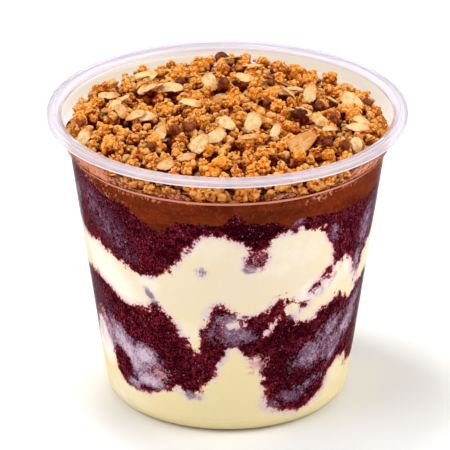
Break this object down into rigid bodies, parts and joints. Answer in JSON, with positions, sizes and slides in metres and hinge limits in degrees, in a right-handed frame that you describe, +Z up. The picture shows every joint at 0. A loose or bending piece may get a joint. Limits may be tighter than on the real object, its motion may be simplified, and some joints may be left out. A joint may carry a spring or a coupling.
{
  "type": "layered acai dessert tub",
  "caption": "Clear tapered tub with a rolled lip, filled with wavy layers of cream and acai, a chocolate layer and a heap of granola clusters and oat flakes.",
  "frame": {"origin": "middle of the base, at the height of the foot ring the tub stands on", "axes": "+Z up along the tub's axis, -Y towards the side the picture shows"},
  "size_m": [0.117, 0.117, 0.1013],
  "materials": {
    "clear_plastic": "clear, glossy",
    "cream_base": "smooth, moist",
    "acai": "fine-grained, moist",
    "cream_middle": "smooth, moist",
    "chocolate": "smooth, satin",
    "granola": "rough, toasted"
  },
  "bodies": {
    "root": {"tub": "clear_plastic", "cream_base": "cream_base", "acai_lower": "acai", "cream_middle": "cream_middle", "acai_upper": "acai", "chocolate": "chocolate", "granola": "granola"}
  },
  "joints": []
}
